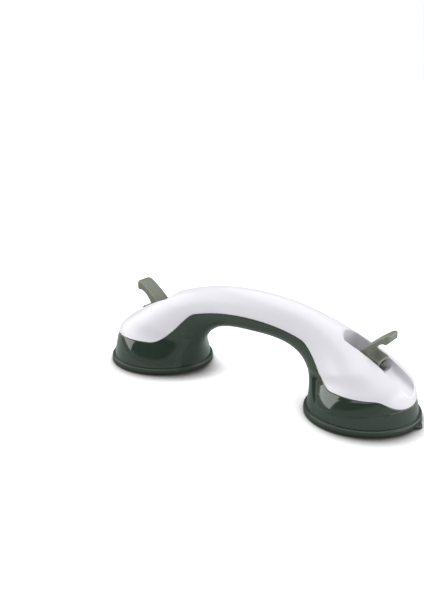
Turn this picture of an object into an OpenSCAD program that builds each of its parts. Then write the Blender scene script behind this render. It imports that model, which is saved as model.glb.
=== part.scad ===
// Suction grab bar: an arched hand grip between two round housings. Each housing holds
// a rubber suction cup, a draw stem and a lock lever with a cam foot.
// X runs along the bar, Z is up, and the cups stand on z = 0 midway under the grip.

/* [Layout] */
// Distance between the axes of the two suction cups
cup_pitch = 186.6; // [176:0.2:200]
// Radius of each housing at its bottom edge
housing_r = 41; // [39:0.5:43]
// Height of the housings' bottom edge above the surface
skirt_z = 4.5; // [3.5:0.1:6]

/* [Grip] */
// Height of the top of the grip at its middle
grip_top = 76; // [72:0.5:84]
// Height of the underside of the grip at its middle
grip_under = 43.5; // [40:0.5:46]
// Half of the grip's width at its middle
grip_half_w = 14.8; // [13:0.1:18]
// Wall of both shells
wall = 2.5; // [1.8:0.1:3.2]
// Height of the joint line between the shells at the middle of the grip
joint_grip_z = 57.8; // [54:0.1:61]
// Height of the joint line round the housings
joint_skirt_z = 24.1; // [22:0.1:26]
// How far the joint line dips at each outer end
joint_tongue = 8.6; // [4:0.1:10]
// Gap at the joint line
joint_gap = 0.16; // [0.06:0.02:0.4]

/* [Lever] */
// Width of each lever
lever_w = 14.4; // [12.8:0.2:14.8]
// Length of the paddle from its heel to its tip
lever_len = 37; // [34:0.5:39]
// How far the paddle's top is domed along its length
lever_dome = 1.5; // [0:0.1:2]
// Radius of the corners at the paddle's tip
lever_corner = 2.2; // [0.5:0.1:4]
// Angle of the open paddle above the horizontal
open_angle = 41.5; // [36:0.5:46]
// Swing of the lever from open to locked
swing = 72.5; // [66:0.5:74]
// Height of the hinge pin with the lever open
pin_z = 44; // [43:0.1:45]
// Diameter of the hinge pin
pin_d = 3; // [2.4:0.1:3.4]
// How far the cam lifts the draw stem
lift = 5; // [3:0.1:5.4]
// Distance from the pin to the cam's foot with the lever locked
cam_reach = 13.7; // [13:0.1:14]
// Width of the slot between the cam's cheeks
fork_gap = 7; // [6.4:0.1:7.6]

/* [Slot] */
// Half of the lever slot's width
slot_half_w = 8.2; // [7.8:0.1:9]
// Inner end of the slot, from the cup's axis
slot_in = 12; // [11.5:0.1:13]
// Outer end of the slot, from the cup's axis
slot_out = 16; // [15.4:0.1:17]
// Half of the finger trough's width
trough_half_w = 7.6; // [7.4:0.1:8]
// Slope of the trough's floor
trough_slope = 31.4; // [29:0.2:34]
// Height of the trough's floor where it leaves the slot
trough_z = 36.5; // [35.8:0.1:37.5]

/* [Suction cup] */
// Radius of the cup's lip
lip_r = 43; // [42:0.1:45]
// Hollow under the middle of the cup
cup_hollow = 2.4; // [1:0.1:3]
// Reach of the pull tab from the cup's axis
tab_r = 46.2; // [45.5:0.1:50]
// Width of the pull tab
tab_w = 10; // [7:0.5:14]
// Radius of the draw stem
stem_r = 8; // [7:0.1:8.6]

/* [Fits] */
// Radial play of the pin in the stem's eye
pin_play = 0.05; // [0.02:0.01:0.1]
// Radial play of the stem in its guide bore
stem_play = 0.08; // [0.04:0.01:0.1]
// Gap between the cam and its plate
cam_gap = 0.1; // [0.05:0.01:0.3]

/* [Screws] */
// Diameter of the screw shanks
screw_d = 3.5; // [3:0.1:4]
// Diameter of the screw heads
screw_head_d = 6.4; // [5.6:0.1:7]
// Distance of the grip screws from the middle
grip_screw_x = 33; // [28:0.5:36]

/* [Hidden] */

white = [0.93, 0.92, 0.95];
green = [0.23, 0.29, 0.25];
sage = [0.56, 0.61, 0.54];
rubber = [0.22, 0.28, 0.24];
steel = [0.72, 0.73, 0.74];
acetal = [0.82, 0.83, 0.8];

cup_x = cup_pitch / 2;

// Side profile of the body: an outer curve over the top and an inner curve under the arch.
// Each is an end piece up the housing and a grip piece to the middle.
draft = 0.26;
shoulder = [cup_x + 18.43, 41.7];
shoulder_angle = 34.2;
armpit = [cup_x - 45.1, grip_under - 16.4];
armpit_angle = 59;
shoulder_half_w = 27.5;
neck_pull = 16.1;
// Handles of the curves, from the bottom edge up to the middle.
out_pull = [27, 28.2, 38.4, 43.5];
in_pull = [11.8, 1, 18.6, 17.4];
width_pull = [2.1, 1.2];
// How far the sections are egg-shaped: wider above the middle, or below it where negative.
egg_shoulder = 0.26;
egg_grip = -0.09;
up_out = [-draft, 1] / norm([-draft, 1]);
up_in = [draft, 1] / norm([draft, 1]);
run_out = [-cos(shoulder_angle), sin(shoulder_angle)];
run_in = [-cos(armpit_angle), sin(armpit_angle)];
foot_out = [cup_x + housing_r, skirt_z];
foot_in = [cup_x - housing_r, skirt_z];

function cubic(a, b, c, d, t) =
    a * pow(1 - t, 3) + b * 3 * t * pow(1 - t, 2) + c * 3 * t * t * (1 - t) + d * t * t * t;
function smooth(t) = let (u = min(1, max(0, t))) u * u * (3 - 2 * u);

// q runs from 0 at the housing's bottom edge, through 1 at the shoulder, to 2 at the middle.
function outer(q) = q < 1
    ? cubic(foot_out, foot_out + up_out * out_pull[0], shoulder - run_out * out_pull[1], shoulder, q)
    : cubic(shoulder, shoulder + run_out * out_pull[2], [out_pull[3], grip_top], [0, grip_top], q - 1);
function inner(q) = q < 1
    ? cubic(foot_in, foot_in + up_in * in_pull[0], armpit - run_in * in_pull[1], armpit, q)
    : cubic(armpit, armpit + run_in * in_pull[2], [in_pull[3], grip_under], [0, grip_under], q - 1);
function half_w(q) = q < 1
    ? cubic(housing_r, housing_r - width_pull[0], shoulder_half_w + width_pull[1], shoulder_half_w, q)
    : cubic(shoulder_half_w, shoulder_half_w - neck_pull, grip_half_w, grip_half_w, q - 1);
function egg(q) = q < 1
    ? egg_shoulder * smooth(q)
    : egg_shoulder + (egg_grip - egg_shoulder) * smooth(q - 1);

// The same curves set in by a depth d, level at the bottom edge.
step_q = 0.002;
function tangent_out(q) = let (v = outer(min(2, q + step_q)) - outer(max(0, q - step_q))) v / norm(v);
function tangent_in(q) = let (v = inner(min(2, q + step_q)) - inner(max(0, q - step_q))) v / norm(v);
function level(q) = min(1, 2 * q);
function outer_at(q, d) = let (t = tangent_out(q)) outer(q) - d * [t[1], -t[0] * level(q)];
function inner_at(q, d) = let (t = tangent_in(q)) inner(q) - d * [-t[1], t[0] * level(q)];

// A point of the body at station q and angle a, which is 0 on top and 180 underneath.
function body_point(q, a, d) = let (
    o = outer_at(q, d),
    i = inner_at(q, d),
    m = (o + i) / 2,
    h = (o - i) / 2
) [
    m[0] + h[0] * cos(a),
    (half_w(q) - d) * sin(a) * (1 + egg(q) * cos(a)),
    m[1] + h[1] * cos(a)
];

// Joint line between the shells, as a height over x.
neck_in = cup_x - 44.8;
neck_out = cup_x - 10.3;
joint_sag = 0.0029;
tongue_in = cup_x + 21.7;
tongue_out = cup_x + 39.7;
function joint_z(x) = let (
    grip = joint_grip_z - joint_sag * x * x,
    skirt = joint_skirt_z - joint_tongue * smooth((x - tongue_in) / (tongue_out - tongue_in)),
    s = smooth((x - neck_in) / (neck_out - neck_in))
) grip * (1 - s) + skirt * s;
function above(q, d, off) = let (p = outer_at(q, d)) p[1] - joint_z(p[0]) - off;
function find_tip(d, off, lo, hi, n) = let (m = (lo + hi) / 2)
    n == 0 ? m : above(m, d, off) < 0 ? find_tip(d, off, m, hi, n - 1) : find_tip(d, off, lo, m, n - 1);
function tip_q(d, off) = find_tip(d, off, 0, 0.6, 30);

// The station whose section passes through a point p of the side view, and the angle there.
function beside(q, d, p) = let (
    i = inner_at(q, d),
    h = outer_at(q, d) - i,
    v = p - i
) h[0] * v[1] - h[1] * v[0];
function find_q(p, d, lo, hi, n) = let (m = (lo + hi) / 2)
    n == 0 ? m : beside(m, d, p) > 0 ? find_q(p, d, m, hi, n - 1) : find_q(p, d, lo, m, n - 1);
function angle_at(q, d, p) = let (i = inner_at(q, d), h = (outer_at(q, d) - i) / 2)
    acos(max(-1, min(1, ((p - i - h) * h) / (h * h))));
function find_x(x, lo, hi, n) = let (m = (lo + hi) / 2)
    n == 0 ? m : outer(m)[0] > x ? find_x(x, m, hi, n - 1) : find_x(x, lo, m, n - 1);
function find_in(x, lo, hi, n) = let (m = (lo + hi) / 2)
    n == 0 ? m : inner(m)[0] > x ? find_in(x, m, hi, n - 1) : find_in(x, lo, m, n - 1);
function top_z(x) = outer(find_x(x, 0, 2, 30))[1];
function under_z(x) = inner(find_in(x, 1, 2, 30))[1];

// Stations [q, a] along the joint line, from the tip of its dip at one end to the middle.
n_skirt = 4;
n_tongue = 7;
n_side = 6;
n_neck = 12;
n_grip = 8;
function joint_x(d, off, first) = let (tip = outer_at(tip_q(d, off), d)[0]) concat(
    [for (i = [0 : n_tongue - 1]) tip - (tip - tongue_in) * pow((i + first) / (n_tongue + first), 2)],
    [for (i = [0 : n_side - 1]) tongue_in + (neck_out - tongue_in) * i / n_side],
    [for (i = [0 : n_neck - 1]) neck_out + (neck_in - neck_out) * i / n_neck],
    [for (i = [0 : n_grip]) neck_in * (1 - i / n_grip)]
);
function stations(d, off, first) = [
    for (x = joint_x(d, off, first)) let (
        p = [x, joint_z(x) + off],
        q = x == 0 ? 2 : find_q(p, d, 0, 2, 40)
    ) [q, angle_at(q, d, p)]
];

// Rows of points from the right end over the grip to the left end.
function mirror_rows(r) = concat(r, [
    for (k = [len(r) - 2 : -1 : 0]) [for (p = r[k]) [-p[0], p[1], p[2]]]
]);
n_top = 14;
tongue_first = 0.5;
function top_rows(d) = mirror_rows([
    for (s = stations(d, joint_gap / 2, tongue_first))
        [for (j = [0 : n_top]) body_point(s[0], s[1] * (2 * j / n_top - 1), d)]
]);
n_low = 28;
// Angles round the lower shell from one joint edge to the other, shifted mostly near the edge.
function low_angle(a, j) = let (
    t = 1 - abs(2 * j / n_low - 1),
    m = max(1, min(3, 160 / max(a, 1))),
    half = 180 * t + a * pow(1 - t, m)
) 2 * j <= n_low ? half : 360 - half;
function low_row(q, a, d) = [for (j = [0 : n_low]) body_point(q, low_angle(a, j), d)];
function low_rows(d) = let (q0 = tip_q(d, -joint_gap / 2)) mirror_rows(concat(
    [for (i = [0 : n_skirt - 1]) low_row(q0 * i / n_skirt, 0, d)],
    [for (s = stations(d, -joint_gap / 2, 0)) low_row(s[0], s[1], d)]
));

// A closed sheet between an outer and an inner grid of points.
function flat(rows) = [for (r = rows) for (p = r) p];
function quad(a, b, c, d, turn = false) = turn ? [[a, b, d], [b, c, d]] : [[a, b, c], [a, c, d]];

module top_sheet() {
    a = top_rows(0);
    b = top_rows(wall);
    nr = len(a);
    nc = n_top + 1;
    k = nr * nc;
    // The quads are cut the same way at both ends and on both sides.
    function turn(i, j) = (2 * j >= n_top) != (2 * i >= nr - 1);
    faces = concat(
        [for (i = [0 : nr - 2]) for (j = [0 : nc - 2]) let (p = i * nc + j)
            each quad(p, p + nc, p + nc + 1, p + 1, turn(i, j))],
        [for (i = [0 : nr - 2]) for (j = [0 : nc - 2]) let (p = k + i * nc + j)
            each quad(p, p + 1, p + nc + 1, p + nc, turn(i, j))],
        [for (i = [0 : nr - 2]) let (p = i * nc)
            each quad(p, k + p, k + p + nc, p + nc)],
        [for (i = [0 : nr - 2]) let (p = i * nc + nc - 1)
            each quad(p, p + nc, k + p + nc, k + p)],
        [for (j = [0 : nc - 2]) each quad(j, j + 1, k + j + 1, k + j)],
        [for (j = [0 : nc - 2]) let (p = (nr - 1) * nc + j)
            each quad(p, k + p, k + p + 1, p + 1)]
    );
    polyhedron(concat(flat(a), flat(b)), faces);
}

module low_sheet() {
    a = low_rows(0);
    b = low_rows(wall);
    nr = len(a);
    nc = n_low + 1;
    k = nr * nc;
    // Below the dip of the joint line the rows close on themselves.
    function at(i, j) = i * nc + (j == n_low && (i <= n_skirt || i >= nr - 1 - n_skirt) ? 0 : j);
    function turn(i, j) = (2 * j < n_low) != (2 * i >= nr - 1);
    faces = concat(
        [for (i = [0 : nr - 2]) for (j = [0 : nc - 2])
            each quad(at(i, j), at(i + 1, j), at(i + 1, j + 1), at(i, j + 1), turn(i, j))],
        [for (i = [0 : nr - 2]) for (j = [0 : nc - 2])
            each quad(k + at(i, j), k + at(i, j + 1), k + at(i + 1, j + 1), k + at(i + 1, j), turn(i, j))],
        [for (i = [n_skirt : nr - 2 - n_skirt])
            each quad(at(i, 0), k + at(i, 0), k + at(i + 1, 0), at(i + 1, 0))],
        [for (i = [n_skirt : nr - 2 - n_skirt])
            each quad(at(i, n_low), at(i + 1, n_low), k + at(i + 1, n_low), k + at(i, n_low))],
        [for (j = [0 : nc - 2]) each quad(at(0, j), at(0, j + 1), k + at(0, j + 1), k + at(0, j))],
        [for (j = [0 : nc - 2]) let (i = nr - 1)
            each quad(at(i, j), k + at(i, j), k + at(i, j + 1), at(i, j + 1))]
    );
    polyhedron(concat(flat(a), flat(b)), faces);
}

// Heights in the lever mechanism.
seat_z = pin_z - cam_reach + lift;
plate_t = 1.2;
plate_in = 8;
plate_out = 14;
plate_gap = 0.3;
well_z = seat_z - plate_t;
well_t = 2.5;
well_wall = 1.9;
well_half_w = slot_half_w + well_wall;
tray_end = 35.5;
tray_t = 3;
skin_cover = 4.2;
tan_trough = tan(trough_slope);

// Screws and their bosses.
screw_in = -17.5;
screw_out = 18.5;
boss_r = 4;
boss_z = 25;
pilot_r = screw_d / 2 - 0.35;
hole_r = screw_d / 2 + 0.15;
head_h = 2.4;
head_r = screw_head_d / 2;
sink_r = head_r + 0.3;
sink_depth = 3.5;
grip_bite = 9;
shank_r = screw_d / 2 - 0.4;

// Base disc.
disc_z = 16;
disc_t = 2.5;
disc_flat_r = 22.5;
disc_r = housing_r - wall - 1.4;
ledge_z = 9;
ledge_t = 2;
guide_r = stem_r + 3;
guide_top = well_z - well_t;

// Stem.
neck_r = 3.6;
neck_z = well_z - well_t - lift - 0.6;
tongue_half_w = fork_gap / 2 - 0.3;
flange_r = 17;
flange_z = 5;
flange_t = 3;
hub_r = 20;
hub_z = 10;

// Both ends are alike: the left one is the right one turned about the vertical.
module at_end(side) {
    rotate([0, 0, side > 0 ? 0 : 180]) translate([cup_x, 0, 0]) children();
}

// Extrudes a profile drawn in x and z to both sides of the plane y = 0.
module side_extrude(w) {
    rotate([90, 0, 0]) linear_extrude(w, center = true) children();
}

// The lever well and the tray under the finger trough, up into the shell's wall.
module well_block() {
    q_a = find_x(cup_x + tray_end, 0, 2, 30);
    q_b = find_x(cup_x - slot_in - 2.5, 0, 2, 30);
    n = 10;
    roof = [
        for (i = [0 : n]) let (p = outer(q_a + (q_b - q_a) * i / n))
            [p[0] - cup_x, p[1] - skin_cover]
    ];
    side_extrude(2 * well_half_w) polygon(concat([
        [-slot_in - 2.5, well_z - well_t],
        [slot_out + 1.5, well_z - well_t],
        [tray_end, trough_z - tray_t - (tray_end - slot_out) * tan_trough]
    ], roof));
}

// Rounded slot that the lever swings in.
module slot_cut() {
    r = 1.5;
    l = slot_in + slot_out;
    translate([-slot_in, 0, well_z]) linear_extrude(60) union() {
        translate([r, -slot_half_w]) square([l - 2 * r, 2 * slot_half_w]);
        translate([0, r - slot_half_w]) square([l, 2 * (slot_half_w - r)]);
        for (x = [r, l - r])
            for (y = [r - slot_half_w, slot_half_w - r])
                translate([x, y]) circle(r, $fn = 32);
    }
}

// Finger trough with a rounded floor and a round outer end.
module trough_cut() {
    r = 1.8;
    start = -4;
    run = 17;
    depth = 30;
    module half_profile() {
        translate([0, r]) square([trough_half_w, depth]);
        square([trough_half_w - r, 2 * r]);
        translate([trough_half_w - r, r]) circle(r, $fn = 32);
    }
    translate([slot_out, 0, trough_z]) rotate([0, trough_slope, 0]) {
        translate([start, 0, 0]) rotate([90, 0, 90]) linear_extrude(run - start) union() {
            half_profile();
            mirror([1, 0]) half_profile();
        }
        translate([run, 0, 0]) rotate_extrude($fn = 64) intersection() {
            half_profile();
            square([2 * trough_half_w, 2 * depth]);
        }
    }
}

module upper_shell() color(white) {
    boss_top = top_z(grip_screw_x) - 1.2;
    grip_boss_z = joint_z(grip_screw_x) + 2;
    difference() {
        union() {
            top_sheet();
            for (side = [-1, 1]) at_end(side) {
                well_block();
                translate([screw_in, 0, boss_z]) cylinder(r = boss_r, h = 18, $fn = 48);
                translate([screw_out, 0, boss_z]) cylinder(r = boss_r, h = 9, $fn = 48);
            }
            for (side = [-1, 1]) translate([side * grip_screw_x, 0, grip_boss_z])
                cylinder(r = boss_r, h = boss_top - grip_boss_z, $fn = 48);
        }
        for (side = [-1, 1]) at_end(side) {
            slot_cut();
            trough_cut();
            translate([-neck_r - 0.4, -fork_gap / 2, well_z - well_t - 1])
                cube([2 * neck_r + 0.8, fork_gap, well_t + 2]);
            translate([screw_in, 0, boss_z - 1]) cylinder(r = pilot_r, h = 13, $fn = 32);
            translate([screw_out, 0, boss_z - 1]) cylinder(r = pilot_r, h = 7.5, $fn = 32);
        }
        for (side = [-1, 1]) translate([side * grip_screw_x, 0, grip_boss_z - 1])
            cylinder(r = pilot_r, h = 9, $fn = 32);
    }
}

module lower_shell() color(green) {
    floor_z = under_z(grip_screw_x);
    grip_boss_z = joint_z(grip_screw_x) + 2;
    sink_z = floor_z + sink_depth;
    difference() {
        union() {
            low_sheet();
            for (side = [-1, 1]) at_end(side) translate([0, 0, ledge_z]) difference() {
                cylinder(r = disc_r + 1.2, h = ledge_t, $fn = 96);
                translate([0, 0, -1]) cylinder(r = disc_r - 2.2, h = ledge_t + 2, $fn = 96);
            }
            for (side = [-1, 1]) translate([side * grip_screw_x, 0, floor_z + 1.6])
                cylinder(r = boss_r + 1, h = grip_boss_z - floor_z - 1.6, $fn = 48);
        }
        for (side = [-1, 1]) translate([side * grip_screw_x, 0, 0]) {
            translate([0, 0, floor_z - 6]) cylinder(r = sink_r, h = sink_z - floor_z + 6, $fn = 48);
            translate([0, 0, floor_z - 6]) cylinder(r = hole_r, h = 40, $fn = 32);
        }
    }
}

// Paddle coordinates: u from the pin towards the tip, v up through the top face.
paddle_u = 29.36;
paddle_v = 4.06;
function uv(u, v) = [
    u * cos(open_angle) - v * sin(open_angle),
    u * sin(open_angle) + v * cos(open_angle)
];
// Cam: its distance from the pin grows evenly with the swing, so the stem rises evenly.
cam_rate = lift / (swing * PI / 180);
function cam_point(a) = let (
    reach = cam_reach - cam_gap - lift + cam_rate * (a + 90) * PI / 180
) reach * [cos(a), sin(a)] + cam_rate * [-sin(a), cos(a)];
foot_root = uv(7.2, 0.3);
foot_nose = cam_point(swing - 90) + [-0.3, 1.3];
heel_u = paddle_u - lever_len;
heel_r = 1.2;
tip_r = 1.6;
function dome(u) = paddle_v + lever_dome * (1 - pow(2 * (u - heel_u) / lever_len - 1, 2));

module lever_outline() {
    n_cam = 18;
    n_under = 8;
    n_top = 16;
    dome_end = paddle_u - 1.9;
    polygon(concat(
        [uv(heel_u, paddle_v - heel_r), uv(heel_u, -0.5)],
        [cam_point(-90) - [3, 0]],
        [for (i = [0 : n_cam]) cam_point(-90 + swing * i / n_cam)],
        [foot_nose, foot_root],
        [for (i = [0 : n_under]) let (t = i / n_under) uv(
            cubic(8.4, 15, 19, paddle_u - 5.2, t),
            cubic(0.1, 0.9, 1.1, -1, t)
        )],
        [uv(paddle_u - 4, -1.25), uv(paddle_u - 3, -1.2), uv(paddle_u - 2.3, -0.6)],
        [for (a = [-20 : 12.5 : 80])
            uv(paddle_u - tip_r + tip_r * cos(a), paddle_v - tip_r - 0.1 + tip_r * sin(a))],
        [for (i = [0 : n_top]) let (u = dome_end + (heel_u + heel_r - dome_end) * i / n_top)
            uv(u, dome(u))]
    ));
}

// Cuts the tip's corners round, seen from above the paddle.
module tip_cut() {
    r = lever_corner;
    deep = 20;
    rotate([0, -open_angle, 0]) for (side = [0, 1]) mirror([0, side, 0])
        translate([paddle_u - r, lever_w / 2 - r, -deep / 2]) difference() {
            cube([2 * r, 2 * r, deep]);
            translate([0, 0, -1]) cylinder(r = r, h = deep + 2, $fn = 48);
        }
}

// Room between the cheeks for the stem's eye, over the whole swing.
module fork_cut() {
    r = neck_r + 0.4;
    far = 24;
    a = swing - 90;
    circle(r + 0.6, $fn = 48);
    polygon([
        [-r, 0], [-r, -far], [far, -far],
        [far * cos(a) - r * sin(a), far * sin(a) + r * cos(a)],
        [-r * sin(a), r * cos(a)]
    ]);
}

module lever() {
    difference() {
        side_extrude(lever_w) lever_outline();
        side_extrude(fork_gap) fork_cut();
        tip_cut();
        rotate([90, 0, 0]) cylinder(d = pin_d + 0.04, h = 2 * lever_w, center = true, $fn = 48);
    }
}

module lever_side(side) {
    at_end(side) translate([0, 0, pin_z]) lever();
}
module lever_left() color(sage) lever_side(-1);
module lever_right() color(sage) lever_side(1);

module lever_pin(side) {
    at_end(side) translate([0, 0, pin_z]) rotate([90, 0, 0])
        cylinder(d = pin_d, h = lever_w - 0.4, center = true, $fn = 48);
}
module lever_pin_left() color(steel) lever_pin(-1);
module lever_pin_right() color(steel) lever_pin(1);

module draw_stem(side) {
    at_end(side) difference() {
        union() {
            translate([0, 0, flange_z]) cylinder(r = flange_r, h = flange_t, $fn = 72);
            translate([0, 0, flange_z]) cylinder(r = stem_r, h = neck_z - flange_z, $fn = 72);
            translate([-neck_r, -tongue_half_w, neck_z - 1])
                cube([2 * neck_r, 2 * tongue_half_w, pin_z - neck_z + 1]);
            translate([0, 0, pin_z]) rotate([90, 0, 0])
                cylinder(r = neck_r, h = 2 * tongue_half_w, center = true, $fn = 48);
        }
        translate([0, 0, pin_z]) rotate([90, 0, 0])
            cylinder(d = pin_d + 2 * pin_play, h = 4 * tongue_half_w, center = true, $fn = 48);
    }
}
module draw_stem_left() color(acetal) draw_stem(-1);
module draw_stem_right() color(acetal) draw_stem(1);

// Flat rim on the surface, thin disc, and a hub moulded round the stem's flange.
module suction_cup(side) {
    at_end(side) difference() {
        union() {
            rotate_extrude($fn = 96) polygon([
                [0, cup_hollow], [hub_r, cup_hollow], [35, 0.5], [37, 0], [lip_r - 1.2, 0],
                [lip_r - 0.4, 0.5], [lip_r, 1.6], [lip_r, skirt_z - 1.2], [lip_r - 0.5, skirt_z - 0.2],
                [lip_r - 1.2, skirt_z], [disc_r - 3, skirt_z], [hub_r + 4, skirt_z + 1.6],
                [hub_r, hub_z - 1.5], [hub_r - 1.5, hub_z], [0, hub_z]
            ]);
            difference() {
                translate([lip_r - 3, -tab_w / 2, 0]) cube([tab_r - lip_r + 3 - tab_w / 4, tab_w, 2]);
                translate([0, 0, -1]) cylinder(r = lip_r - 2, h = 4, $fn = 96);
            }
            intersection() {
                translate([tab_r - tab_w / 2, 0, 0]) cylinder(r = tab_w / 2, h = 2, $fn = 48);
                translate([lip_r - 1, -tab_w, 0]) cube([tab_w, 2 * tab_w, 2]);
            }
        }
        translate([0, 0, flange_z]) cylinder(r = flange_r + 0.1, h = flange_t, $fn = 72);
        translate([0, 0, flange_z + 1]) cylinder(r = stem_r + 0.1, h = 20, $fn = 72);
    }
}
module suction_cup_left() color(rubber) suction_cup(-1);
module suction_cup_right() color(rubber) suction_cup(1);

module cam_plate(side) {
    at_end(side) difference() {
        translate([-plate_in, plate_gap - slot_half_w, well_z])
            cube([plate_in + plate_out, 2 * (slot_half_w - plate_gap), plate_t]);
        translate([-neck_r - 0.4, -fork_gap / 2, well_z - 1])
            cube([2 * neck_r + 0.8, fork_gap, plate_t + 2]);
    }
}
module cam_plate_left() color(steel) cam_plate(-1);
module cam_plate_right() color(steel) cam_plate(1);

// Rigid disc that backs the cup: rim, cone, flat middle and the stem's guide tube.
module base_disc(side) {
    bore = stem_r + stem_play;
    rim = disc_r - 3;
    at_end(side) difference() {
        union() {
            rotate_extrude($fn = 96) polygon([
                [bore, disc_z], [disc_flat_r, disc_z], [rim, skirt_z + 2.4], [rim, skirt_z],
                [disc_r, skirt_z], [disc_r, ledge_z], [rim - 1, ledge_z],
                [disc_flat_r + 1, disc_z + disc_t],
                [guide_r, disc_z + disc_t], [guide_r, guide_top], [bore, guide_top]
            ]);
            for (x = [screw_in, screw_out]) translate([x, 0, disc_z])
                cylinder(r = boss_r, h = boss_z - disc_z, $fn = 48);
        }
        for (x = [screw_in, screw_out]) translate([x, 0, 0]) {
            cylinder(r = hole_r, h = 40, $fn = 32);
            cylinder(r = sink_r, h = disc_z + head_h + 0.2, $fn = 48);
        }
        cylinder(r = bore, h = 60, $fn = 72);
    }
}
module base_disc_left() color(green) base_disc(-1);
module base_disc_right() color(green) base_disc(1);

// Pan-head screw with its head downwards at z = 0 and its shank up.
module screw(l) {
    difference() {
        union() {
            translate([0, 0, -head_h]) cylinder(r = head_r, h = head_h, $fn = 48);
            cylinder(r = shank_r, h = l, $fn = 32);
        }
        for (a = [0, 90]) rotate([0, 0, a])
            translate([-1.9, -0.4, -head_h - 1]) cube([3.8, 0.8, 2.2]);
    }
}
module housing_screw(side, x, l) {
    at_end(side) translate([x, 0, disc_z + head_h + 0.2]) screw(l);
}
module housing_screw_left_inner() color(steel) housing_screw(-1, screw_in, 17);
module housing_screw_left_outer() color(steel) housing_screw(-1, screw_out, 12);
module housing_screw_right_inner() color(steel) housing_screw(1, screw_in, 17);
module housing_screw_right_outer() color(steel) housing_screw(1, screw_out, 12);

module grip_screw(side) {
    z = under_z(grip_screw_x) + sink_depth;
    translate([side * grip_screw_x, 0, z]) screw(joint_z(grip_screw_x) + grip_bite - z);
}
module grip_screw_left() color(steel) grip_screw(-1);
module grip_screw_right() color(steel) grip_screw(1);

upper_shell();
lower_shell();
lever_left();
lever_right();
lever_pin_left();
lever_pin_right();
draw_stem_left();
draw_stem_right();
suction_cup_left();
suction_cup_right();
cam_plate_left();
cam_plate_right();
base_disc_left();
base_disc_right();
housing_screw_left_inner();
housing_screw_left_outer();
housing_screw_right_inner();
housing_screw_right_outer();
grip_screw_left();
grip_screw_right();
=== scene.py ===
import math

import bmesh
import bpy
import numpy as np
from mathutils import Matrix, Vector
from mathutils.geometry import delaunay_2d_cdt


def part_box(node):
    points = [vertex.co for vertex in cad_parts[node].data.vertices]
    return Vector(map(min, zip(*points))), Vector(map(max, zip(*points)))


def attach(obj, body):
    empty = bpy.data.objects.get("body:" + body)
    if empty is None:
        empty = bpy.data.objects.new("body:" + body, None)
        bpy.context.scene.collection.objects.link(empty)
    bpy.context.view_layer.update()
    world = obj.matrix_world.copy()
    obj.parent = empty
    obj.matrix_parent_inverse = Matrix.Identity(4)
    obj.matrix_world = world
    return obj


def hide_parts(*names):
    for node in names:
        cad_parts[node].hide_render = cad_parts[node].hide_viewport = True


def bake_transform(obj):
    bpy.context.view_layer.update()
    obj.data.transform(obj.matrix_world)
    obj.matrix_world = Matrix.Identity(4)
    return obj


for start_up in ("Cube", "Light", "Camera"):
    if start_up in bpy.data.objects:
        bpy.data.objects.remove(bpy.data.objects[start_up])
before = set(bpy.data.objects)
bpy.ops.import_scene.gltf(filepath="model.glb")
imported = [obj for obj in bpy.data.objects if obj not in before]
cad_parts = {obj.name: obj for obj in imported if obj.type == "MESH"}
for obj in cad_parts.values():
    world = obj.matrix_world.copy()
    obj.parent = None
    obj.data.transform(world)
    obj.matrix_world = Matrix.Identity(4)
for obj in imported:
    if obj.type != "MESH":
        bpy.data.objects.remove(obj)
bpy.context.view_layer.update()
MM = 0.001
MIRROR, HALF_TURN = np.array([1, -1, 1]), np.array([-1, -1, 1])

# Form of the body in millimetres, by the same curves as the solids. A station q runs from the
# bottom edge of a housing, where it is 0, by the shoulder at 1 to the middle of the grip at 2.
CUP_X, HOUSING_R, SKIRT_Z = 93.3, 41.0, 4.5
GRIP_TOP, GRIP_UNDER, GRIP_HALF_W, WALL = 76.0, 43.5, 14.8, 2.5
JOINT_GRIP_Z, JOINT_SKIRT_Z, JOINT_TONGUE, JOINT_SAG = 57.8, 24.1, 8.6, 0.0029
DRAFT, SHOULDER_RISE, ARMPIT_RISE = 0.26, math.radians(34.2), math.radians(59)
SHOULDER = np.array([CUP_X + 18.43, 41.7])
ARMPIT = np.array([CUP_X - 45.1, GRIP_UNDER - 16.4])
SHOULDER_HALF_W, NECK_PULL = 27.5, 16.1
EGG_SHOULDER, EGG_GRIP = 0.26, -0.09
OUT_PULL, IN_PULL, WIDTH_PULL = (27, 28.2, 38.4, 43.5), (11.8, 1, 18.6, 17.4), (2.1, 1.2)
UP_OUT = np.array([-DRAFT, 1]) / math.hypot(DRAFT, 1)
UP_IN = np.array([DRAFT, 1]) / math.hypot(DRAFT, 1)
RUN_OUT = np.array([-math.cos(SHOULDER_RISE), math.sin(SHOULDER_RISE)])
RUN_IN = np.array([-math.cos(ARMPIT_RISE), math.sin(ARMPIT_RISE)])
FOOT_OUT, FOOT_IN = np.array([CUP_X + HOUSING_R, SKIRT_Z]), np.array([CUP_X - HOUSING_R, SKIRT_Z])
NECK_IN, NECK_OUT = CUP_X - 44.8, CUP_X - 10.3
TONGUE_IN, TONGUE_OUT = CUP_X + 21.7, CUP_X + 39.7

# Fineness of the meshes.
STEP_Q, TIP_Q_MAX = 0.002, 0.6
TONGUE_STEPS, SKIRT_STEPS, NECK_STEPS, GRIP_STEPS = 20, 18, 30, 22
UPPER_COLUMNS, LOWER_COLUMNS, UPPER_BREADTH, LOWER_BREADTH = 57, 97, 26.0, 50.0
SEAM, WELD, SAME_POINT, DELAUNAY_EPS = 0.01, 2e-3, 1e-6, 1e-7
CIRCLE = np.radians(np.arange(48) * 7.5)


def smooth(t):
    u = np.clip(t, 0, 1)
    return u * u * (3 - 2 * u)


def quadratic(a, b, c, t):
    return a * (1 - t) ** 2 + b * 2 * t * (1 - t) + c * t * t


def cubic(a, b, c, d, t):
    t = t[..., None] if np.ndim(a) else t
    return a * (1 - t) ** 3 + b * 3 * t * (1 - t) ** 2 + c * 3 * t * t * (1 - t) + d * t**3


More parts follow.
